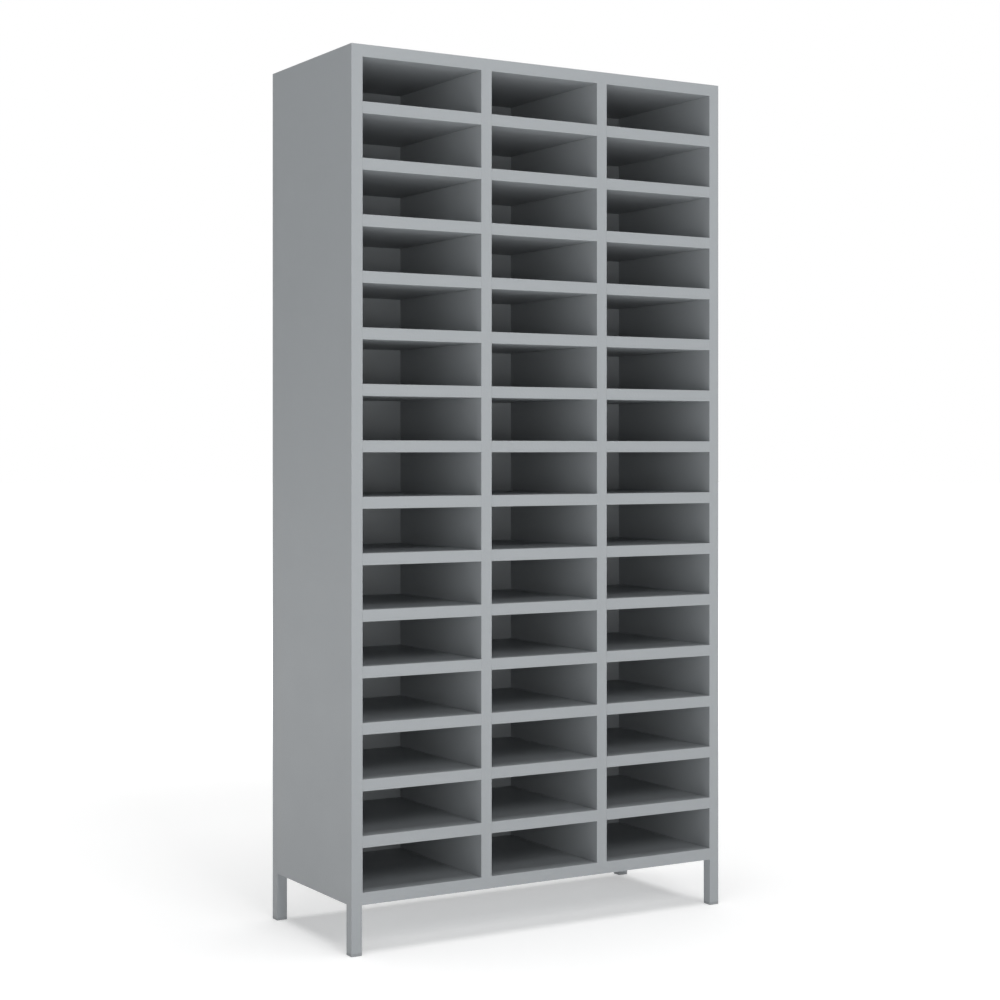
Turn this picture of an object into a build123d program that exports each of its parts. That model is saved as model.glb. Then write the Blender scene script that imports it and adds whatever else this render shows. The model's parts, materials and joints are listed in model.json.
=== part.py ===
"""A steel mail sorter: three columns of fifteen open compartments on four short legs.

The carcass is a welded frame of square tube, clad inside and out with folded sheet, so that
every wall, shelf and divider is a smooth closed box with its front face in one plane.
Millimetres. +X is to the viewer's right, the open front faces -Y, +Z is up, and the origin
lies on the floor, under the middle of the cabinet.
"""

import os

from build123d import *

# --- Overall sizes ---
total_width = 952.0
total_depth = 400.0
body_height = 1800.0
leg_height = 100.0

# --- Compartments ---
column_names = ("left", "middle", "right")
divider_names = ("left_divider", "right_divider")
row_count = 15
shelf_thickness = 25.0
divider_thickness = 26.0

# --- Stock ---
tube = 25.0
tube_wall = 1.5
sheet = 1.0
corner_radius = 1.5
edge_radius = 0.5

# --- Room left behind the folded flanges of the side, ceiling and back trays ---
flange_gap = 4.0

# --- Tabs on the shelf ends, which locate in slots in the upright sheets ---
tab_width = 30.0
tab_reach = 3.0
tab_inset = 70.0
slot_clearance = 0.15

# --- Blind rivets that hold the back panel ---
rivet_radius = 2.0
rivet_clearance = 0.05
rivet_head_radius = 4.0
rivet_head_height = 1.4
rivet_head_edge = 0.4
rivet_bulb_radius = 2.9
rivet_bulb_length = 3.0
rivet_end_distance = 110.0
side_rivet_count = 6
rail_rivet_count = 5

# --- Plastic foot caps ---
cap_flange = 6.0
cap_plug_height = 22.0
cap_plug_wall = 2.5
cap_plug_clearance = 0.2
cap_chamfer = 1.0

# --- Levels and planes that follow from the sizes above ---
body_bottom = cap_flange + leg_height
body_top = body_bottom + body_height
post_top = body_top - sheet
bottom_rail_top = body_bottom + tube
floor_top = bottom_rail_top + sheet
ceiling = post_top - tube
inner_height = ceiling - floor_top

half_width = total_width / 2
half_depth = total_depth / 2
post_inner_x = half_width - tube
liner_inner_x = post_inner_x - sheet
rail_inner_y = half_depth - tube
rail_mid_x = half_width - tube / 2
rail_mid_y = half_depth - tube / 2
front_y = -half_depth
back_y = rail_inner_y
compartment_depth = back_y - front_y
compartment_mid_y = (front_y + back_y) / 2
tube_bore = tube - 2 * tube_wall
flange_depth = tube - sheet - flange_gap

column_pitch = 2 * liner_inner_x / len(column_names)
divider_xs = [column_pitch * (i + 1) - liner_inner_x for i, _ in enumerate(divider_names)]
shelf_count = row_count - 1
opening_height = (inner_height - shelf_count * shelf_thickness) / row_count
row_pitch = opening_height + shelf_thickness
shelf_bottoms = [floor_top + opening_height + row_pitch * i for i in range(shelf_count)]
tab_ys = [front_y + tab_inset, back_y - tab_inset]

rivet_y = back_y + sheet + (flange_depth - sheet) / 2
side_rivet_span = inner_height - 2 * rivet_end_distance
side_rivet_zs = [
    floor_top + rivet_end_distance + side_rivet_span * i / (side_rivet_count - 1)
    for i in range(side_rivet_count)
]
rail_rivet_span = 2 * (post_inner_x - rivet_end_distance)
rail_rivet_xs = [
    rail_rivet_span * (i / (rail_rivet_count - 1) - 0.5) for i in range(rail_rivet_count)
]
rivet_hole_radius = rivet_radius + rivet_clearance

os.makedirs("parts", exist_ok=True)


def save(piece, name):
    """Labels a finished piece and writes it as a STEP file of the same name."""
    piece.part.label = name
    export_step(piece.part, f"parts/{name}.step")


# --- Frame ---


def make_post(name, x_side, y_side):
    """A full-height corner post of square tube, whose lower end is the leg.

    All four corners of the leg are round. Higher up only the outermost one is, because the
    others are filled and ground flush with the rails and the sheets beside them.
    """
    x_mid = x_side * rail_mid_x
    y_mid = y_side * rail_mid_y
    outward = Axis((0, 0, 0), (x_side, y_side, 0))
    with BuildPart() as post:
        with BuildSketch(Plane.XY.offset(cap_flange)):
            with Locations((x_mid, y_mid)):
                RectangleRounded(tube, tube, corner_radius)
        extrude(amount=leg_height)
        with BuildSketch(Plane.XY.offset(body_bottom)) as upper_section:
            with Locations((x_mid, y_mid)):
                Rectangle(tube, tube)
            fillet(upper_section.vertices().sort_by(outward)[-1], corner_radius)
        extrude(amount=post_top - body_bottom)
        with BuildSketch(Plane.XY.offset(cap_flange)):
            with Locations((x_mid, y_mid)):
                Rectangle(tube_bore, tube_bore)
        extrude(amount=post_top - cap_flange, mode=Mode.SUBTRACT)
        if y_side > 0:
            with BuildSketch(Plane.YZ.offset(x_side * post_inner_x)):
                with Locations([(rivet_y, z) for z in side_rivet_zs]):
                    Circle(rivet_hole_radius)
            extrude(amount=x_side * tube_wall, mode=Mode.SUBTRACT)
    save(post, name)


def make_rail(start, end):
    """One square tube, square to the floor, between the middles of its two ends."""
    with BuildPart() as rail:
        with BuildSketch(Plane(start, x_dir=(0, 0, 1), z_dir=Vector(end) - Vector(start))):
            Rectangle(tube, tube)
            Rectangle(tube_bore, tube_bore, mode=Mode.SUBTRACT)
        extrude(amount=(Vector(end) - Vector(start)).length)
    return rail.part


def make_back_rail(z_mid, rivet_wall_z):
    """The rear rail of one level, with rivet holes in the wall beside the back panel."""
    with BuildPart() as back_rail:
        add(make_rail((-post_inner_x, rail_mid_y, z_mid), (post_inner_x, rail_mid_y, z_mid)))
        with BuildSketch(Plane.XY.offset(rivet_wall_z)):
            with Locations([(x, rivet_y) for x in rail_rivet_xs]):
                Circle(rivet_hole_radius)
        extrude(amount=tube_wall, mode=Mode.SUBTRACT)
    return back_rail.part


def make_rails(name, z_bottom, cross_xs, rivet_wall_z):
    """The rails of one level, welded between the posts, each one a tube of its own."""
    z_mid = z_bottom + tube / 2
    rails = [
        make_rail((-post_inner_x, -rail_mid_y, z_mid), (post_inner_x, -rail_mid_y, z_mid)),
        make_back_rail(z_mid, rivet_wall_z),
    ]
    for x in (-rail_mid_x, *cross_xs, rail_mid_x):
        rails.append(make_rail((x, -rail_inner_y, z_mid), (x, rail_inner_y, z_mid)))
    export_step(Compound(children=rails, label=name), f"parts/{name}.step")


# --- Sheets ---


def make_top_panel():
    """The top sheet, which covers the post ends and the top rails out to the cabinet's faces."""
    with BuildPart() as top_panel:
        with BuildSketch(Plane.XY.offset(post_top)):
            RectangleRounded(total_width, total_depth, corner_radius)
        extrude(amount=sheet)
        fillet(top_panel.faces().sort_by(Axis.Z)[-1].edges(), edge_radius)
    save(top_panel, "top_panel")


def make_floor_panel():
    """The floor sheet, which lies on the bottom rails and is notched round the four posts."""
    with BuildPart() as floor_panel:
        with BuildSketch(Plane.XY.offset(bottom_rail_top)):
            Rectangle(total_width, total_depth)
            with GridLocations(2 * rail_mid_x, 2 * rail_mid_y, 2, 2):
                Rectangle(tube, tube, mode=Mode.SUBTRACT)
            with Locations([(x, rivet_y) for x in rail_rivet_xs]):
                Circle(rivet_hole_radius, mode=Mode.SUBTRACT)
        extrude(amount=sheet)
    save(floor_panel, "floor_panel")


def make_ceiling_panel():
    """The tray above the top row, with flanges turned up against the inside of the top rails."""
    tray_width = 2 * post_inner_x
    tray_depth = 2 * rail_inner_y
    with BuildPart() as ceiling_panel:
        with BuildSketch(Plane.XY.offset(ceiling)):
            Rectangle(tray_width, tray_depth)
        extrude(amount=flange_depth)
        with BuildSketch(Plane.XY.offset(ceiling + sheet)):
            Rectangle(tray_width - 2 * sheet, tray_depth - 2 * sheet)
        extrude(amount=flange_depth, mode=Mode.SUBTRACT)
    save(ceiling_panel, "ceiling_panel")


def make_back_panel():
    """The back tray, with flanges turned to the rear and riveted inside the rear frame."""
    tray_width = 2 * post_inner_x
    mid_z = floor_top + inner_height / 2
    with BuildPart() as back_panel:
        with BuildSketch(Plane.XZ.offset(-back_y)):
            with Locations((0, mid_z)):
                Rectangle(tray_width, inner_height)
        extrude(amount=-flange_depth)
        with BuildSketch(Plane.XZ.offset(-back_y - sheet)):
            with Locations((0, mid_z)):
                Rectangle(tray_width - 2 * sheet, inner_height - 2 * sheet)
        extrude(amount=-flange_depth, mode=Mode.SUBTRACT)
        with BuildSketch(Plane.YZ):
            with Locations([(rivet_y, z) for z in side_rivet_zs]):
                Circle(rivet_hole_radius)
        extrude(amount=half_width, both=True, mode=Mode.SUBTRACT)
        with BuildSketch(Plane.XY.offset(mid_z)):
            with Locations([(x, rivet_y) for x in rail_rivet_xs]):
                Circle(rivet_hole_radius)
        extrude(amount=inner_height, both=True, mode=Mode.SUBTRACT)
    save(back_panel, "back_panel")


def make_side_panels():
    """The outer side trays, flush with the posts, with flanges turned in against the frame."""
    mid_z = floor_top + inner_height / 2
    tray_depth = 2 * rail_inner_y
    with BuildPart() as left_panel:
        with BuildSketch(Plane.YZ.offset(-half_width)):
            with Locations((0, mid_z)):
                Rectangle(tray_depth, inner_height)
        extrude(amount=flange_depth)
        with BuildSketch(Plane.YZ.offset(sheet - half_width)):
            with Locations((0, mid_z)):
                Rectangle(tray_depth - 2 * sheet, inner_height - 2 * sheet)
        extrude(amount=flange_depth, mode=Mode.SUBTRACT)
    with BuildPart() as right_panel:
        add(mirror(left_panel.part, about=Plane.YZ))
    save(left_panel, "left_side_panel")
    save(right_panel, "right_side_panel")


def cut_tab_slots(x_mid, half_reach):
    """Cuts the slots for the shelf tabs through an upright sheet or box, within its block."""
    slot_width = tab_width + 2 * slot_clearance
    slot_height = sheet + 2 * slot_clearance
    with BuildSketch(Plane.YZ.offset(x_mid)) as slots:
        with Locations([(y, z + sheet / 2) for y in tab_ys for z in shelf_bottoms]):
            Rectangle(slot_width, slot_height)
    extrude(slots.sketch, amount=half_reach, both=True, mode=Mode.SUBTRACT)


def make_liners():
    """The flat inner side sheets, which cover the posts' inner faces up to the front."""
    with BuildPart() as left_liner:
        with BuildSketch(Plane.XY.offset(floor_top)) as plan:
            with Locations((-liner_inner_x - sheet / 2, compartment_mid_y)):
                Rectangle(sheet, compartment_depth)
            fillet(plan.vertices().sort_by(Axis((0, 0, 0), (1, -1, 0)))[-1], edge_radius)
        extrude(amount=inner_height)
        cut_tab_slots(-liner_inner_x - sheet / 2, sheet)
    with BuildPart() as right_liner:
        add(mirror(left_liner.part, about=Plane.YZ))
    save(left_liner, "left_liner")
    save(right_liner, "right_liner")


def make_divider(name, x_mid):
    """An upright box folded from one sheet, standing on the floor sheet up to the ceiling."""
    with BuildPart() as divider:
        with BuildSketch(Plane.XY.offset(floor_top)) as plan:
            with Locations((x_mid, compartment_mid_y)):
                Rectangle(divider_thickness, compartment_depth)
            fillet(plan.vertices().group_by(Axis.Y)[0], edge_radius)
            with Locations((x_mid, compartment_mid_y)):
                Rectangle(
                    divider_thickness - 2 * sheet,
                    compartment_depth - 2 * sheet,
                    mode=Mode.SUBTRACT,
                )
        extrude(amount=inner_height)
        cut_tab_slots(x_mid, divider_thickness)
    save(divider, name)


# --- Shelves ---


def make_shelf(name, x_left, x_right, z_bottom):
    """A closed box shelf folded from one sheet, with two locating tabs at each end."""
    x_mid = (x_left + x_right) / 2
    z_mid = z_bottom + shelf_thickness / 2
    with BuildPart() as shelf:
        with BuildSketch(Plane.YZ.offset(x_left)) as section:
            with Locations((compartment_mid_y, z_mid)):
                Rectangle(compartment_depth, shelf_thickness)
            fillet(section.vertices().group_by(Axis.X)[0], edge_radius)
            with Locations((compartment_mid_y, z_mid)):
                Rectangle(
                    compartment_depth - 2 * sheet,
                    shelf_thickness - 2 * sheet,
                    mode=Mode.SUBTRACT,
                )
        extrude(amount=x_right - x_left)
        with BuildSketch(Plane.XY.offset(z_bottom)):
            with Locations([(x_mid, y) for y in tab_ys]):
                Rectangle(x_right - x_left + 2 * tab_reach, tab_width)
        extrude(amount=sheet)
    save(shelf, name)


# --- Fasteners and feet ---


def add_rivet(head_plane, grip):
    """Adds one set blind rivet to the open block.

    head_plane lies on the sheet with its normal pointing into the head. Below it the shank
    runs through the grip, and ends in the bulb that setting forms on the blind side.
    """
    bulb_end = -grip - rivet_bulb_length
    dome_rise = rivet_head_height - rivet_head_edge
    dome_radius = (rivet_head_radius**2 + dome_rise**2) / (2 * dome_rise)
    half_way = rivet_head_radius / 2
    half_way_rise = rivet_head_height - dome_radius + (dome_radius**2 - half_way**2) ** 0.5
    profile_plane = Plane(head_plane.origin, x_dir=head_plane.x_dir, z_dir=-head_plane.y_dir)
    with BuildSketch(profile_plane) as profile:
        with BuildLine():
            Polyline(
                (0, rivet_head_height),
                (0, bulb_end),
                (rivet_radius, bulb_end),
                (rivet_bulb_radius, (bulb_end - grip) / 2),
                (rivet_bulb_radius, -grip),
                (rivet_radius, -grip),
                (rivet_radius, 0),
                (rivet_head_radius, 0),
                (rivet_head_radius, rivet_head_edge),
            )
            ThreePointArc(
                (rivet_head_radius, rivet_head_edge),
                (half_way, half_way_rise),
                (0, rivet_head_height),
            )
        make_face()
    revolve(profile.sketch, axis=Axis(head_plane.origin, head_plane.z_dir))


def make_back_rivets():
    """All the rivets of the back panel, in its two side flanges and its end flanges."""
    side_grip = sheet + tube_wall
    bottom_grip = 2 * sheet + tube_wall
    side_x = post_inner_x - sheet
    with BuildPart() as rivets:
        for z in side_rivet_zs:
            add_rivet(Plane((-side_x, rivet_y, z), x_dir=(0, 1, 0), z_dir=(1, 0, 0)), side_grip)
            add_rivet(Plane((side_x, rivet_y, z), x_dir=(0, 1, 0), z_dir=(-1, 0, 0)), side_grip)
        for x in rail_rivet_xs:
            low = (x, rivet_y, floor_top + sheet)
            high = (x, rivet_y, ceiling - sheet)
            add_rivet(Plane(low, x_dir=(1, 0, 0), z_dir=(0, 0, 1)), bottom_grip)
            add_rivet(Plane(high, x_dir=(1, 0, 0), z_dir=(0, 0, -1)), side_grip)
    save(rivets, "back_panel_rivets")


def make_foot_caps():
    """Four square caps: a flange as wide as the tube, and a hollow plug inside it."""
    plug = tube_bore - 2 * cap_plug_clearance
    with BuildPart() as foot_caps:
        with BuildSketch():
            with GridLocations(2 * rail_mid_x, 2 * rail_mid_y, 2, 2):
                RectangleRounded(tube, tube, corner_radius)
        extrude(amount=cap_flange)
        chamfer(foot_caps.faces().filter_by(Axis.Z).group_by(Axis.Z)[0].edges(), cap_chamfer)
        with BuildSketch(Plane.XY.offset(cap_flange)):
            with GridLocations(2 * rail_mid_x, 2 * rail_mid_y, 2, 2):
                Rectangle(plug, plug)
                Rectangle(plug - 2 * cap_plug_wall, plug - 2 * cap_plug_wall, mode=Mode.SUBTRACT)
        extrude(amount=cap_plug_height)
    save(foot_caps, "foot_caps")


# --- Assembly ---

for y_name, y_side in (("front", -1), ("rear", 1)):
    for x_name, x_side in (("left", -1), ("right", 1)):
        make_post(f"{y_name}_{x_name}_post", x_side, y_side)

make_rails("bottom_rails", body_bottom, divider_xs, bottom_rail_top - tube_wall)
make_rails("top_rails", ceiling, [], ceiling)
make_top_panel()
make_floor_panel()
make_ceiling_panel()
make_back_panel()
make_side_panels()
make_liners()

for divider_name, divider_x in zip(divider_names, divider_xs):
    make_divider(divider_name, divider_x)

column_lefts = [-liner_inner_x, *(x + divider_thickness / 2 for x in divider_xs)]
column_rights = [*(x - divider_thickness / 2 for x in divider_xs), liner_inner_x]
for column_name, x_left, x_right in zip(column_names, column_lefts, column_rights):
    for number, z_bottom in enumerate(shelf_bottoms, start=1):
        make_shelf(f"{column_name}_shelf_{number:02d}", x_left, x_right, z_bottom)

make_back_rivets()
make_foot_caps()
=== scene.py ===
"""Looks of a steel mail sorter: open compartments in a powder-coated cabinet on four legs.

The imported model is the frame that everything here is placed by. The cabinet's own sheets and
tubes keep their shape and get their finish; the foot caps and the rivets are made again in
finer detail, and the welds of the floor frame are added. Everything is in metres.
"""

from __future__ import annotations

import json
import logging
import math
from dataclasses import dataclass
from enum import Enum
from typing import Any

import bpy
import numpy as np
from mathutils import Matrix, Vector


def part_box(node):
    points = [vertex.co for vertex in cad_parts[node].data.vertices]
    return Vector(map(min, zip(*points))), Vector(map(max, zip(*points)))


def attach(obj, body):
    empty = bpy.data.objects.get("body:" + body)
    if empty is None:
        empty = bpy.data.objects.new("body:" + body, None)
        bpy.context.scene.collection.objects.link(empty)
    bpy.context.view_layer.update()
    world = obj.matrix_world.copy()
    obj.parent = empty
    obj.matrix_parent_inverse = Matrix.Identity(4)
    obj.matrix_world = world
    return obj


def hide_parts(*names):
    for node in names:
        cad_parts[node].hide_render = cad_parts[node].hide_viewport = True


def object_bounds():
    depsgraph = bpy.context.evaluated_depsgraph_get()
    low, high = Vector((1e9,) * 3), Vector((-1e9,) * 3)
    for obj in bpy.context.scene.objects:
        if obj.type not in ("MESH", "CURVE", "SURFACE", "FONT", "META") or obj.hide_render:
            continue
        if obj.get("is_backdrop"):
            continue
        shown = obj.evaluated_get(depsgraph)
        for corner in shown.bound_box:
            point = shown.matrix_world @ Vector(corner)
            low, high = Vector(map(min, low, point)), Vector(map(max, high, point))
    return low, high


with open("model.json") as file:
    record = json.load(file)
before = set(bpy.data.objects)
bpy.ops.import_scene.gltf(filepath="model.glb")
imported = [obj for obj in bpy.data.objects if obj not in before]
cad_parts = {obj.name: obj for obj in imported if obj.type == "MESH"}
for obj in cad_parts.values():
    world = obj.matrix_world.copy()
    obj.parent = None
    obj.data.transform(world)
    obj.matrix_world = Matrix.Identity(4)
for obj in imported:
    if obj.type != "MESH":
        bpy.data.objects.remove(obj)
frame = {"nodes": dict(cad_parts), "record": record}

LOG = logging.getLogger("mail_sorter")
MM = 0.001
CREASE_DEG = 40.0


class Slot(Enum):
    """The material slots of the record."""

    FRAME = "frame_powder_coat"
    PANEL = "panel_powder_coat"
    SHELF = "shelf_powder_coat"
    CAP = "foot_cap_plastic"
    RIVET = "rivet_aluminium"


# --- Materials ---


def linear(code: str) -> tuple[float, float, float, float]:
    """Turns an sRGB hex colour into the linear colour that a shader takes.

    Args:
        code: Six hex digits after a hash sign.

    Returns:
        Red, green, blue and alpha, each from 0 to 1.
    """
    parts = [int(code[i : i + 2], 16) / 255 for i in (1, 3, 5)]
    red, green, blue = (
        p / 12.92 if p <= 0.04045 else ((p + 0.055) / 1.055) ** 2.4 for p in parts
    )
    return red, green, blue, 1.0


def add_node(
    tree: bpy.types.NodeTree,
    kind: str,
    sockets: dict[str | int, Any] | None = None,
    **settings: Any,
) -> bpy.types.Node:
    """Adds one node, with its settings, its socket values and its links.

    Args:
        tree: The node tree that the node joins.
        kind: The node's type name.
        sockets: For each input, by name or number, a value or the output that feeds it.
        **settings: The node's own properties.

    Returns:
        The new node.
    """
    node = tree.nodes.new(kind)
    for name, value in settings.items():
        setattr(node, name, value)
    for key, value in (sockets or {}).items():
        if isinstance(value, bpy.types.NodeSocket):
            tree.links.new(value, node.inputs[key])
        else:
            node.inputs[key].default_value = value
    return node


def new_material(name: str) -> tuple[bpy.types.Material, bpy.types.NodeTree]:
    """Makes an empty node material.

    Args:
        name: The material's name.

    Returns:
        The material and its cleared node tree.
    """
    material = bpy.data.materials.new(name)
    material.use_nodes = True
    material.node_tree.nodes.clear()
    return material, material.node_tree


@dataclass(frozen=True)
class PowderCoat:
    """Polyester powder coat, sprayed dry on steel and baked.

    The melt flows into a satin skin with a fine orange peel, and the film is a little
    thicker in some places than in others, so the gloss and the tone drift very slightly.
    A satin coat's peel is about 2 mm from crest to crest and a few hundredths of a
    millimetre deep, too fine to show, so it is drawn twice as wide and several times as
    deep.
    """

    name: str
    colour: str
    thin_colour: str
    peel_mm: float = 5.0
    peel_height_mm: float = 0.3
    drift_mm: float = 260.0
    gloss_mm: float = 90.0
    roughness_low: float = 0.43
    roughness_high: float = 0.48

    def material(self) -> bpy.types.Material:
        """Builds the node material."""
        material, tree = new_material(self.name)
        place = add_node(tree, "ShaderNodeTexCoord").outputs["Object"]
        drift = add_node(
            tree,
            "ShaderNodeTexNoise",
            {"Vector": place, "Scale": 1 / (self.drift_mm * MM), "Detail": 3.0},
        )
        tone = add_node(
            tree,
            "ShaderNodeMix",
            {0: drift.outputs[0], 6: linear(self.colour), 7: linear(self.thin_colour)},
            data_type="RGBA",
        )
        gloss = add_node(
            tree,
            "ShaderNodeTexNoise",
            {"Vector": place, "Scale": 1 / (self.gloss_mm * MM), "Detail": 4.0},
        )
        roughness = add_node(
            tree,
            "ShaderNodeMapRange",
            {
                "Value": gloss.outputs[0],
                "From Min": 0.3,
                "From Max": 0.7,
                "To Min": self.roughness_low,
                "To Max": self.roughness_high,
            },
        )
        peel = add_node(
            tree,
            "ShaderNodeTexNoise",
            {"Vector": place, "Scale": 1 / (self.peel_mm * MM), "Detail": 2.0},
        )
        skin = add_node(
            tree,
            "ShaderNodeBump",
            {"Height": peel.outputs[0], "Distance": self.peel_height_mm * MM, "Strength": 1.0},
        )
        shader = add_node(
            tree,
            "ShaderNodeBsdfPrincipled",
            {
                "Base Color": tone.outputs[2],
                "Roughness": roughness.outputs[0],
                "IOR": 1.5,
                "Normal": skin.outputs[0],
            },
        )
        add_node(tree, "ShaderNodeOutputMaterial", {"Surface": shader.outputs[0]})
        return material


@dataclass(frozen=True)
class MouldedPolyethylene:
    """Polyethylene, injection moulded against a spark-eroded steel face.

    The mould leaves a fine even grain, and the resin has a waxy, rather dull sheen.
    """

    name: str
    colour: str
    worn_colour: str
    grain_mm: float = 0.7
    grain_height_mm: float = 0.02
    scuff_mm: float = 9.0

    def material(self) -> bpy.types.Material:
        """Builds the node material."""
        material, tree = new_material(self.name)
        place = add_node(tree, "ShaderNodeTexCoord").outputs["Object"]
        scuff = add_node(
            tree,
            "ShaderNodeTexNoise",
            {"Vector": place, "Scale": 1 / (self.scuff_mm * MM), "Detail": 5.0},
        )
        tone = add_node(
            tree,
            "ShaderNodeMix",
            {0: scuff.outputs[0], 6: linear(self.colour), 7: linear(self.worn_colour)},
            data_type="RGBA",
        )
        grain = add_node(
            tree,
            "ShaderNodeTexNoise",
            {"Vector": place, "Scale": 1 / (self.grain_mm * MM), "Detail": 2.0},
        )
        skin = add_node(
            tree,
            "ShaderNodeBump",
            {"Height": grain.outputs[0], "Distance": self.grain_height_mm * MM},
        )
        shader = add_node(
            tree,
            "ShaderNodeBsdfPrincipled",
            {
                "Base Color": tone.outputs[2],
                "Roughness": 0.55,
                "IOR": 1.51,
                "Normal": skin.outputs[0],
            },
        )
        add_node(tree, "ShaderNodeOutputMaterial", {"Surface": shader.outputs[0]})
        return material


@dataclass(frozen=True)
class RivetAluminium:
    """Aluminium alloy, cold headed and tumbled, as blind rivets come.

    Tumbling leaves it dull and faintly mottled, without any direction to the scratches.
    """

    name: str
    colour: str
    dull_colour: str
    mottle_mm: float = 1.6
    roughness_low: float = 0.34
    roughness_high: float = 0.52

    def material(self) -> bpy.types.Material:
        """Builds the node material."""
        material, tree = new_material(self.name)
        place = add_node(tree, "ShaderNodeTexCoord").outputs["Object"]
        mottle = add_node(
            tree,
            "ShaderNodeTexNoise",
            {"Vector": place, "Scale": 1 / (self.mottle_mm * MM), "Detail": 4.0},
        )
        tone = add_node(
            tree,
            "ShaderNodeMix",
            {0: mottle.outputs[0], 6: linear(self.colour), 7: linear(self.dull_colour)},
            data_type="RGBA",
        )
        roughness = add_node(
            tree,
            "ShaderNodeMapRange",
            {
                "Value": mottle.outputs[0],
                "To Min": self.roughness_low,
                "To Max": self.roughness_high,
            },
        )
        shader = add_node(
            tree,
            "ShaderNodeBsdfPrincipled",
            {
                "Base Color": tone.outputs[2],
                "Metallic": 1.0,
                "Roughness": roughness.outputs[0],
            },
        )
        add_node(tree, "ShaderNodeOutputMaterial", {"Surface": shader.outputs[0]})
        return material


@dataclass(frozen=True)
class StudioFloor:
    """Matt white vinyl with a painted glow: it emits light though it is no lamp, lightens the
    floor and the shadow under the cabinet, and glows more towards its distant rim.

    The rim's glow carries the floor into the white backdrop without a horizon. It rises
    between two distances from the middle, in metres.
    """

    name: str = "studio_vinyl_painted_glow"
    colour: str = "#E6E6E6"
    glow: float = 0.37
    rim_glow: float = 1.0
    glow_start: float = 1.2
    glow_end: float = 5.0

    def material(self) -> bpy.types.Material:
        """Builds the node material."""
        material, tree = new_material(self.name)
        place = add_node(tree, "ShaderNodeTexCoord").outputs["Object"]
        distance = add_node(tree, "ShaderNodeVectorMath", {0: place}, operation="LENGTH")
        # Painted glow: emission that lightens the floor and the shadow under the cabinet, rising
        # from glow to rim_glow with distance.
        glow = add_node(
            tree,
            "ShaderNodeMapRange",
            {
                "Value": distance.outputs["Value"],
                "From Min": self.glow_start,
                "From Max": self.glow_end,
                "To Min": self.glow,
                "To Max": self.rim_glow,
            },
            interpolation_type="SMOOTHSTEP",
        )
        shader = add_node(
            tree,
            "ShaderNodeBsdfPrincipled",
            {
                "Base Color": linear(self.colour),
                "Roughness": 0.9,
                "Specular IOR Level": 0.0,
                "Emission Color": (1.0, 1.0, 1.0, 1.0),
                "Emission Strength": glow.outputs[0],
            },
        )
        add_node(tree, "ShaderNodeOutputMaterial", {"Surface": shader.outputs[0]})
        return material


# --- Surfaces ---


@dataclass
class Surface:
    """Points and faces that are gathered before they become one mesh."""

    points: np.ndarray
    faces: list[tuple[int, ...]]

    @staticmethod
    def joined(surfaces: list["Surface"]) -> "Surface":
        """Joins surfaces into one.

        Args:
            surfaces: The surfaces, in order.

        Returns:
            One surface with all their points and faces.
        """
        starts = np.cumsum([0] + [len(s.points) for s in surfaces])
        faces = [
            tuple(int(i + start) for i in face)
            for s, start in zip(surfaces, starts)
            for face in s.faces
        ]
        return Surface(np.concatenate([s.points for s in surfaces]), faces)

    def piece(self, name: str, material: bpy.types.Material) -> bpy.types.Object:
        """Makes the Blender object, shaded smoothly but for its creases.

        Args:
            name: The piece's name.
            material: Its finish.

        Returns:
            The linked object, at the origin.
        """
        mesh = bpy.data.meshes.new(name)
        mesh.from_pydata(self.points.tolist(), [], self.faces)
        mesh.materials.append(material)
        mesh.polygons.foreach_set("use_smooth", np.full(len(mesh.polygons), True))
        mesh.set_sharp_from_angle(angle=math.radians(CREASE_DEG))
        mesh.validate()
        mesh.update()
        piece = bpy.data.objects.new(name, mesh)
        bpy.context.scene.collection.objects.link(piece)
        return piece


def capped_rings(rings: np.ndarray, first_pole: np.ndarray, last_pole: np.ndarray) -> Surface:
    """Closes a stack of rings with a pole at each end.

    Neighbouring rings are joined by quads, point k of one to point k of the next, and each
    end ring by a fan of triangles to its pole. Seen from outside, rings run anticlockwise
    about the direction from the first pole to the last.

    Args:
        rings: Points, as ring by point by coordinate.
        first_pole: The point that closes the first ring.
        last_pole: The point that closes the last ring.

    Returns:
        The closed surface.
    """
    ring_count, around, _ = rings.shape
    here = np.arange(around)
    beyond = np.roll(here, -1)
    base = (np.arange(ring_count - 1) * around)[:, None]
    quads = np.stack(
        [base + here, base + beyond, base + around + beyond, base + around + here], axis=-1
    ).reshape(-1, 4)
    first, last = ring_count * around, ring_count * around + 1
    end = (ring_count - 1) * around
    fans = [(first, int(j), int(i)) for i, j in zip(here, beyond)]
    fans += [(last, int(end + i), int(end + j)) for i, j in zip(here, beyond)]
    points = np.concatenate([rings.reshape(-1, 3), first_pole[None], last_pole[None]])
    return Surface(points, [tuple(map(int, q)) for q in quads] + fans)


def turned(
    profile: np.ndarray, origin: Vector, axis: Vector, side: Vector, segments: int
) -> Surface:
    """Turns a profile round an axis.

    A point at angle a is origin + height * axis + radius * (cos a * side + sin a * across),
    with across = axis x side. The profile starts and ends on the axis.

    Args:
        profile: Radius and height pairs, from the low end to the high end.
        origin: The point of the axis at height 0.
        axis: The unit direction of rising height.
        side: A unit direction square to the axis.
        segments: The number of points in a ring.

    Returns:
        The closed surface.
    """
    angle = np.arange(segments) * (2 * math.pi / segments)
    rise, out, across = (np.array(v) for v in (axis, side, axis.cross(side)))
    spoke = np.cos(angle)[:, None] * out + np.sin(angle)[:, None] * across
    centres = np.array(origin) + profile[:, 1:] * rise
    rings = centres[1:-1, None, :] + profile[1:-1, 0][:, None, None] * spoke[None]
    return capped_rings(rings, centres[0], centres[-1])


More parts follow.
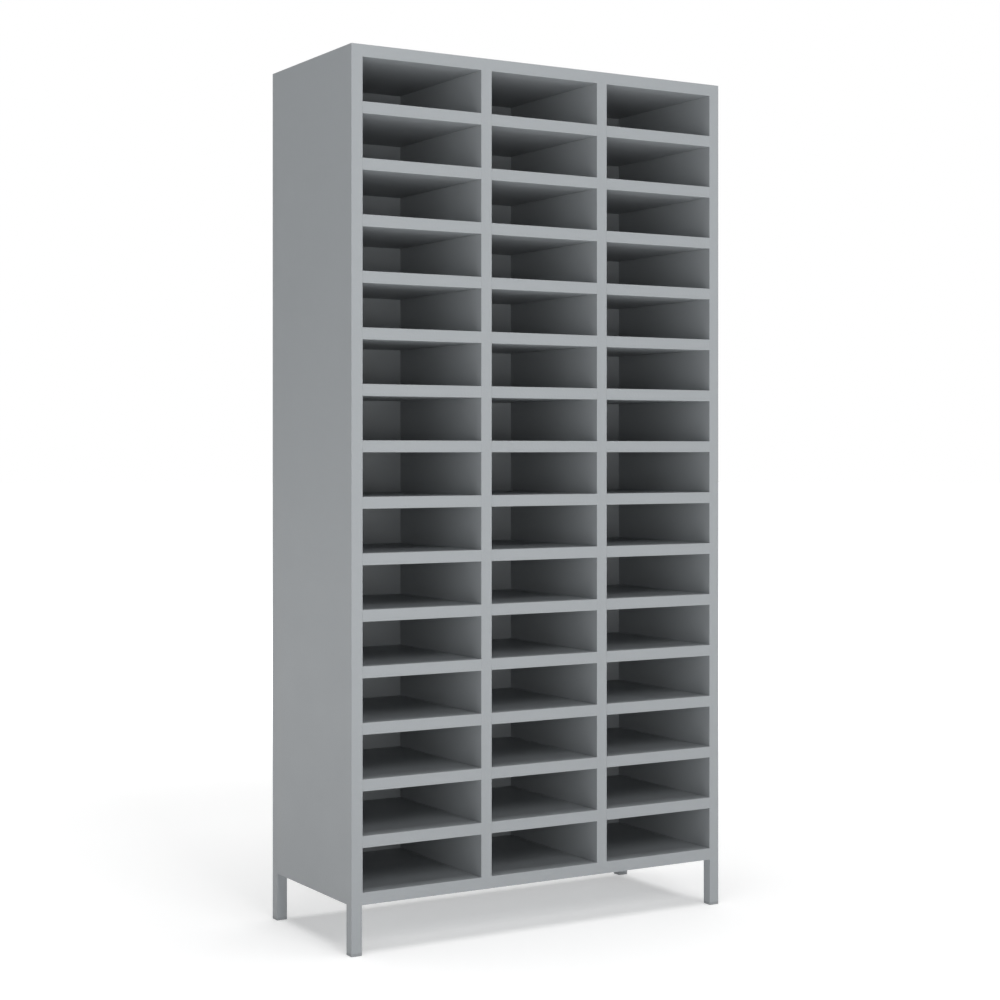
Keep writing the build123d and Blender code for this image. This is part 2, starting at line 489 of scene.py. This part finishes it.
def rounded_square(half: np.ndarray, radius: np.ndarray, per_corner: int) -> np.ndarray:
    """Rings in the shape of a square with round corners, one for each pair of sizes.

    Each corner is a quarter circle about the point half - radius from both axes, and the
    four quarters follow each other anticlockwise, so straight sides join them.

    Args:
        half: Half the width of each ring.
        radius: The corner radius of each ring.
        per_corner: Points in one corner's quarter circle.

    Returns:
        X and Y of the points, as ring by point by coordinate.
    """
    sweep = np.linspace(0, math.pi / 2, per_corner)
    angle = np.concatenate([sweep + quarter * math.pi / 2 for quarter in range(4)])
    quarter_of = np.repeat(np.arange(4), per_corner)
    middle = quarter_of * math.pi / 2 + math.pi / 4
    corner = np.stack([np.sign(np.cos(middle)), np.sign(np.sin(middle))], axis=-1)
    arc = np.stack([np.cos(angle), np.sin(angle)], axis=-1)
    return (half - radius)[:, None, None] * corner + radius[:, None, None] * arc


# --- Sub-assemblies ---


@dataclass
class Carcass:
    """The cabinet's own tubes and sheets, which keep their modelled shape."""

    frame_finish: PowderCoat
    panel_finish: PowderCoat
    shelf_finish: PowderCoat

    def dress(self) -> list[bpy.types.Object]:
        """Gives each kept node the finish of its material slot.

        Returns:
            The nodes that were dressed.
        """
        finishes = {
            Slot.FRAME.value: self.frame_finish.material(),
            Slot.PANEL.value: self.panel_finish.material(),
            Slot.SHELF.value: self.shelf_finish.material(),
        }
        dressed = []
        for part in frame["record"]["subparts"]:
            finish = finishes.get(part["material_slot"])
            if finish is None:
                continue
            node = frame["nodes"][part["node"]]
            if not node.material_slots:
                node.data.materials.append(finish)
            for slot in node.material_slots:
                slot.material = finish
            dressed.append(node)
        return dressed


@dataclass
class FootCaps:
    """Square plastic caps pushed into the legs: a flange on the floor under a ribbed plug."""

    finish: MouldedPolyethylene
    flange_mm: float = 6.0
    corner_mm: float = 1.5
    arris_mm: float = 0.5
    sole_inset_mm: float = 3.0
    sole_recess_mm: float = 0.6
    sole_slope_mm: float = 0.8
    plug_inset_mm: float = 1.7
    wall_mm: float = 2.5
    rib_mm: float = 0.15
    rib_lead_mm: float = 1.2
    rib_back_mm: float = 0.1
    lead_in_mm: float = 1.5
    lead_in_step_mm: float = 1.0
    rib_count: int = 3
    per_corner: int = 5
    per_arris: int = 4

    def profile(self, half: float, height: float) -> np.ndarray:
        """Half width, corner radius and height of each ring, from the sole up and into the plug.

        The flange's lower arris is a quarter circle twice as large as its upper one. Each rib
        of the plug is a long lead-in up to a short step back, and all are evenly spaced.

        Args:
            half: Half the flange's width, in millimetres.
            height: The plug's top, in millimetres.

        Returns:
            Rows of half width, corner radius and height, in metres.
        """
        corner, flange = self.corner_mm, self.flange_mm
        sole = half - self.sole_inset_mm
        plug = half - self.plug_inset_mm
        bore = plug - self.wall_mm
        turn = np.linspace(0, math.pi / 2, self.per_arris)
        low, high = 2 * self.arris_mm, self.arris_mm
        lower = [(half - low * (1 - math.sin(t)), corner, low * (1 - math.cos(t))) for t in turn]
        upper = [
            (half - high * (1 - math.cos(t)), corner, flange - high * (1 - math.sin(t)))
            for t in turn
        ]
        ribs = []
        for z in np.linspace(flange, height, self.rib_count + 2)[1:-1]:
            ribs += [
                (plug, corner, z - self.rib_lead_mm),
                (plug + self.rib_mm, corner, z),
                (plug, corner, z + self.rib_back_mm),
            ]
        rows = [
            (sole - self.sole_slope_mm, corner, self.sole_recess_mm),
            (sole, corner, 0.0),
            *lower,
            *upper,
            (plug, corner, flange),
            *ribs,
            (plug, corner, height - self.lead_in_mm),
            (plug - self.lead_in_step_mm, corner / 2, height),
            (bore, corner / 2, height),
            (bore, corner / 2, flange),
        ]
        return np.array(rows) * MM

    def build(self) -> bpy.types.Object:
        """Makes the four caps as one piece, in place of the plain ones.

        Returns:
            The piece.
        """
        low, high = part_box("foot_caps")
        post_low, post_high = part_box("front_left_post")
        half = (post_high.x - post_low.x) / 2
        rows = self.profile(half / MM, high.z / MM)
        outline = rounded_square(rows[:, 0], rows[:, 1], self.per_corner)
        surfaces = []
        for x in (low.x + half, high.x - half):
            for y in (low.y + half, high.y - half):
                heights = np.broadcast_to(rows[:, 2][:, None, None], outline.shape[:2] + (1,))
                rings = np.concatenate([outline + np.array([x, y]), heights], axis=-1)
                pad_middle = np.array([x, y, rows[0, 2]])
                plug_middle = np.array([x, y, rows[-1, 2]])
                surfaces.append(capped_rings(rings, pad_middle, plug_middle))
        piece = Surface.joined(surfaces).piece("foot_caps_moulded", self.finish.material())
        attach(piece, "root")
        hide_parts("foot_caps")
        return piece


@dataclass
class BlindRivets:
    """Set blind rivets in the back panel's flanges, with the mandrel's stub in each head."""

    finish: RivetAluminium
    head_mm: float = 1.4
    head_radius_mm: float = 4.0
    edge_mm: float = 0.15
    rim_mm: float = 0.5
    shank_radius_mm: float = 2.0
    bulb_radius_mm: float = 2.9
    bulb_mm: float = 3.0
    hole_radius_mm: float = 1.1
    hole_mm: float = 0.7
    stub_radius_mm: float = 0.95
    stub_sunk_mm: float = 0.35
    row_mm: float = 12.0
    segments: int = 24
    bulb_steps: int = 8
    dome_steps: int = 7

    def profile(self, depth: float) -> np.ndarray:
        """Radius and height of one rivet's outline, from the blind end to the stub in its head.

        At share s of its length the bulb's radius is the shank's plus the swell times
        sin(pi s). The head is part of an ellipse, radius * cos a wide and crown * sin a high,
        from its edge to the rim of the hole that the stub sits in.

        Args:
            depth: How far the blind end lies below the sheet, in millimetres.

        Returns:
            Rows of radius and height in metres, with height 0 on the sheet.
        """
        shank, radius, hole = self.shank_radius_mm, self.head_radius_mm, self.hole_radius_mm
        share = np.linspace(0, 1, self.bulb_steps)
        swell = (self.bulb_radius_mm - shank) * np.sin(math.pi * share)
        bulb = np.stack([shank + swell, self.bulb_mm * share - depth], axis=-1)
        last = math.acos((hole + self.rim_mm) / radius)
        angle = np.linspace(0, last, self.dome_steps)
        crown = (self.head_mm - self.edge_mm) / math.sin(last)
        dome = np.stack([radius * np.cos(angle), self.edge_mm + crown * np.sin(angle)], axis=-1)
        rows = [
            (0.0, -depth),
            *bulb,
            (shank, 0.0),
            (radius, 0.0),
            *dome,
            (hole, self.head_mm - self.edge_mm),
            (hole, self.head_mm - self.hole_mm),
            (self.stub_radius_mm, self.head_mm - self.hole_mm),
            (self.stub_radius_mm, self.head_mm - self.stub_sunk_mm),
            (0.0, self.head_mm - self.stub_sunk_mm),
        ]
        return np.array(rows) * MM

    def centres(self) -> list[tuple[Vector, Vector, float]]:
        """Finds each rivet in the model: its place on the sheet, its direction and its depth.

        The rivets of one flange lie in a row within row_mm of the panel's edge, and a gap of
        more than a head's width along the row parts one rivet from the next.

        Returns:
            For each rivet, the middle of its head's underside, the head's outward direction
            and how far its blind end lies below the sheet.
        """
        mesh = frame["nodes"]["back_panel_rivets"].data
        points = np.empty(len(mesh.vertices) * 3)
        mesh.vertices.foreach_get("co", points)
        points = points.reshape(-1, 3)
        low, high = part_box("back_panel")
        margin = self.row_mm * MM
        rows = [
            (points[:, 0] < low.x + margin, 0, 1.0, 2),
            (points[:, 0] > high.x - margin, 0, -1.0, 2),
            (points[:, 2] < low.z + margin, 2, 1.0, 0),
            (points[:, 2] > high.z - margin, 2, -1.0, 0),
        ]
        found = []
        for chosen, across, facing, along in rows:
            row = points[chosen]
            row = row[np.argsort(row[:, along])]
            breaks = np.nonzero(np.diff(row[:, along]) > 2 * self.head_radius_mm * MM)[0] + 1
            for rivet in np.split(row, breaks):
                lowest, highest = rivet.min(axis=0), rivet.max(axis=0)
                place = (lowest + highest) / 2
                tip = highest[across] if facing > 0 else lowest[across]
                place[across] = tip - facing * self.head_mm * MM
                outward = Vector((0.0, 0.0, 0.0))
                outward[across] = facing
                depth = (highest - lowest)[across] / MM - self.head_mm
                found.append((Vector(place), outward, float(depth)))
        return found

    def build(self) -> bpy.types.Object:
        """Makes all the rivets as one piece, in place of the plain ones.

        Returns:
            The piece.
        """
        side = Vector((0.0, 1.0, 0.0))
        surfaces = [
            turned(self.profile(depth), place, outward, side, self.segments)
            for place, outward, depth in self.centres()
        ]
        piece = Surface.joined(surfaces).piece("blind_rivets", self.finish.material())
        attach(piece, "root")
        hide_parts("back_panel_rivets")
        return piece


@dataclass
class FrameWelds:
    """Fillet welds up the inside corners of the floor frame, coated with the rest of it."""

    finish: PowderCoat
    leg_mm: float = 3.2
    trough_share: float = 0.86
    ripple_mm: float = 2.1
    ripple_share: float = 0.12
    end_gap_mm: float = 1.0
    around: int = 7
    rings_per_ripple: int = 4

    def bead(
        self,
        corner: tuple[float, float],
        into: tuple[float, float],
        bottom: float,
        top: float,
    ) -> Surface:
        """One weld bead that stands in an upright inside corner.

        At height z and angle a from one wall to the other, the face of the weld lies
        leg * (trough + share * |sin(pi z / ripple)|) from the corner, and each ripple sags by
        a third of its length in the middle of the weld, like overlapping coins.

        Args:
            corner: X and Y of the inside corner.
            into: Plus or minus one for X and for Y, towards the open side.
            bottom: The lower end.
            top: The upper end.

        Returns:
            The closed surface.
        """
        ripple = self.ripple_mm * MM
        steps = int((top - bottom) / ripple * self.rings_per_ripple)
        height = np.linspace(bottom, top, steps)[:, None]
        angle = np.linspace(0, math.pi / 2, self.around)[None, :]
        sag = np.sin(2 * angle) * ripple / 3
        swell = np.abs(np.sin(math.pi * (height + sag) / ripple))
        reach = self.leg_mm * MM * (self.trough_share + self.ripple_share * swell)
        x = corner[0] + into[0] * reach * np.cos(angle)
        y = corner[1] + into[1] * reach * np.sin(angle)
        face = np.stack([x, y, np.broadcast_to(height, x.shape)], axis=-1)
        root = np.stack(
            [np.full(steps, corner[0]), np.full(steps, corner[1]), height[:, 0]], axis=-1
        )
        rings = np.concatenate([face, root[:, None]], axis=1)
        if into[0] * into[1] < 0:
            rings = rings[:, ::-1]
        return capped_rings(rings, rings[0].mean(axis=0), rings[-1].mean(axis=0))

    def build(self) -> bpy.types.Object:
        """Makes the welds in the corners of the floor frame and at its cross rails.

        Returns:
            The piece.
        """
        rails_low, rails_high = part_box("bottom_rails")
        post_low, post_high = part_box("front_left_post")
        tube = post_high.x - post_low.x
        inner_x, inner_y = rails_high.x - tube, rails_high.y - tube
        dividers = ("left_divider", "right_divider")
        middles = [sum(corner.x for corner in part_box(node)) / 2 for node in dividers]
        uprights = [(-inner_x, 1.0), (inner_x, -1.0)]
        for middle in middles:
            uprights += [(middle - tube / 2, -1.0), (middle + tube / 2, 1.0)]
        gap = self.end_gap_mm * MM
        surfaces = [
            self.bead((x, y), (into_x, into_y), rails_low.z + gap, rails_high.z - gap)
            for x, into_x in uprights
            for y, into_y in ((-inner_y, 1.0), (inner_y, -1.0))
        ]
        piece = Surface.joined(surfaces).piece("frame_welds", self.finish.material())
        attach(piece, "root")
        return piece


# --- Studio ---


class Softbox(Enum):
    """The studio's square softboxes: place in metres, side in metres and power in watts."""

    OVERHEAD = ((0.0, -0.3, 9.0), 7.0, 620.0)
    LEFT = ((-5.0, -4.0, 1.5), 3.0, 46.0)
    HIGH_FRONT = ((0.0, -9.0, 7.0), 4.0, 260.0)
    LOW_FRONT = ((0.0, -4.0, 0.5), 1.5, 26.0)
    KEY = ((-2.9, -4.9, 1.2), 1.2, 26.0)


@dataclass
class Studio:
    """A pale floor, a white surround and soft light from above, the left and the front.

    Lengths without a unit in their name are in metres.
    """

    lens_mm: float = 71.1
    sensor_mm: float = 36.0
    turn_deg: float = 30.77
    left_of_corner: float = 1.835
    in_front: float = 3.696
    eye_height: float = 1.057
    shift_x: float = -0.0023
    shift_y: float = -0.0498
    surround_shown: float = 1.0
    surround_light: float = 0.09
    floor_reach: float = 60.0
    floor_points: int = 96

    def camera(self) -> bpy.types.Object:
        """Stands a level camera in front of the cabinet's left corner, at eye height.

        Returns:
            The camera.
        """
        low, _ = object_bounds()
        data = bpy.data.cameras.new("camera")
        data.sensor_width = self.sensor_mm
        data.lens = self.lens_mm
        data.shift_x = self.shift_x
        data.shift_y = self.shift_y
        data.clip_end = 100.0
        camera = bpy.data.objects.new("camera", data)
        camera.location = (low.x - self.left_of_corner, low.y - self.in_front, self.eye_height)
        camera.rotation_euler = (math.pi / 2, 0.0, -math.radians(self.turn_deg))
        bpy.context.scene.collection.objects.link(camera)
        bpy.context.scene.camera = camera
        return camera

    def floor(self) -> bpy.types.Object:
        """Lays a wide round floor under the cabinet.

        Returns:
            The floor.
        """
        angle = np.linspace(0, 2 * math.pi, self.floor_points, endpoint=False)
        spoke = np.stack([np.cos(angle), np.sin(angle), 0 * angle], axis=-1)
        ring = self.floor_reach * spoke
        disc = Surface(ring, [tuple(range(len(ring)))])
        floor = disc.piece("floor", StudioFloor().material())
        floor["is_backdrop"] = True
        return floor

    def surround(self) -> bpy.types.World:
        """Fills the room with even light that is weaker than the white backdrop looks.

        Returns:
            The world.
        """
        world = bpy.data.worlds.new("surround")
        world.use_nodes = True
        tree = world.node_tree
        tree.nodes.clear()
        light, shown = (
            add_node(
                tree, "ShaderNodeBackground", {"Color": (1.0, 1.0, 1.0, 1.0), "Strength": strength}
            )
            for strength in (self.surround_light, self.surround_shown)
        )
        seen = add_node(tree, "ShaderNodeLightPath").outputs["Is Camera Ray"]
        both = add_node(
            tree, "ShaderNodeMixShader", {0: seen, 1: light.outputs[0], 2: shown.outputs[0]}
        )
        add_node(tree, "ShaderNodeOutputWorld", {"Surface": both.outputs[0]})
        bpy.context.scene.world = world
        return world

    def hang(self, softbox: Softbox, aim: Vector) -> bpy.types.Object:
        """Hangs one square softbox.

        Args:
            softbox: Its place, size and power.
            aim: The point that it faces.

        Returns:
            The light.
        """
        place, size, watts = softbox.value
        data = bpy.data.lights.new(softbox.name.lower(), "AREA")
        data.shape = "SQUARE"
        data.size = size
        data.energy = watts
        light = bpy.data.objects.new(softbox.name.lower(), data)
        light.location = place
        light.rotation_euler = (aim - Vector(place)).to_track_quat("-Z", "Y").to_euler()
        light.visible_camera = False
        bpy.context.scene.collection.objects.link(light)
        return light

    def build(self) -> None:
        """Sets up the floor, the light, the camera and the colour response."""
        self.floor()
        self.surround()
        low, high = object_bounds()
        for softbox in Softbox:
            self.hang(softbox, (low + high) / 2)
        self.camera()
        bpy.context.scene.view_settings.view_transform = "Standard"
        bpy.context.scene.view_settings.look = "None"


def main() -> None:
    """Builds and dresses the cabinet, then the studio round it."""
    logging.basicConfig(level=logging.INFO, format="%(name)s: %(message)s")
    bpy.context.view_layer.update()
    grey, thin_grey = "#93979A", "#95999C"
    carcass = Carcass(
        PowderCoat("powder_coat_tube", grey, thin_grey),
        PowderCoat("powder_coat_panel", grey, thin_grey),
        PowderCoat("powder_coat_shelf", grey, thin_grey),
    )
    LOG.info("dressed %d nodes", len(carcass.dress()))
    caps = FootCaps(MouldedPolyethylene("moulded_polyethylene", "#85898B", "#8F9294"))
    LOG.info("made %s", caps.build().name)
    rivets = BlindRivets(RivetAluminium("tumbled_aluminium", "#C4C6C7", "#AEB1B3"))
    LOG.info("made %s", rivets.build().name)
    welds = FrameWelds(PowderCoat("powder_coat_weld", grey, thin_grey))
    LOG.info("made %s", welds.build().name)
    Studio().build()


if __name__ == "__main__":
    main()
